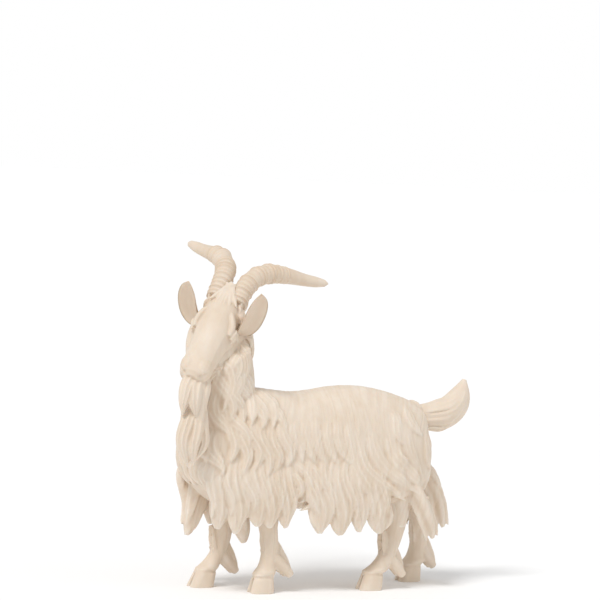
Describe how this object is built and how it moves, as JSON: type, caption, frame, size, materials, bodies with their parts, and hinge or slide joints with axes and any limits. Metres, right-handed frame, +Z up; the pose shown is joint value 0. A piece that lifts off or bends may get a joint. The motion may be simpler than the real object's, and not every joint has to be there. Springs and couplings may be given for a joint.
{
  "type": "carved goat figure",
  "caption": "Carved wooden billy goat, long-haired and standing, with ringed horns swept outwards, a beard, an upturned tail and its head turned to its left; glued up from doweled blocks.",
  "frame": {"origin": "on the ground, under the centre of the box around the whole figure", "axes": "the goat looks along -X, its left side is -Y and +Z is up"},
  "size_m": [0.114, 0.0586, 0.1146],
  "materials": {
    "carved_wood": "fine carved, bare, unvarnished",
    "horn_wood": "fine carved, bare, unvarnished",
    "dowel_wood": "smooth turned hardwood"
  },
  "bodies": {
    "root": {"body": "carved_wood", "ear_left": "carved_wood", "ear_right": "carved_wood", "head": "carved_wood", "horn_dowel_left": "dowel_wood", "horn_dowel_right": "dowel_wood", "horn_left": "horn_wood", "horn_right": "horn_wood", "leg_dowel_front_left": "dowel_wood", "leg_dowel_front_right": "dowel_wood", "leg_dowel_hind_left": "dowel_wood", "leg_dowel_hind_right": "dowel_wood", "leg_front_left": "carved_wood", "leg_front_right": "carved_wood", "leg_hind_left": "carved_wood", "leg_hind_right": "carved_wood", "neck_dowel": "dowel_wood", "tail": "carved_wood", "tail_dowel": "dowel_wood"}
  },
  "joints": []
}
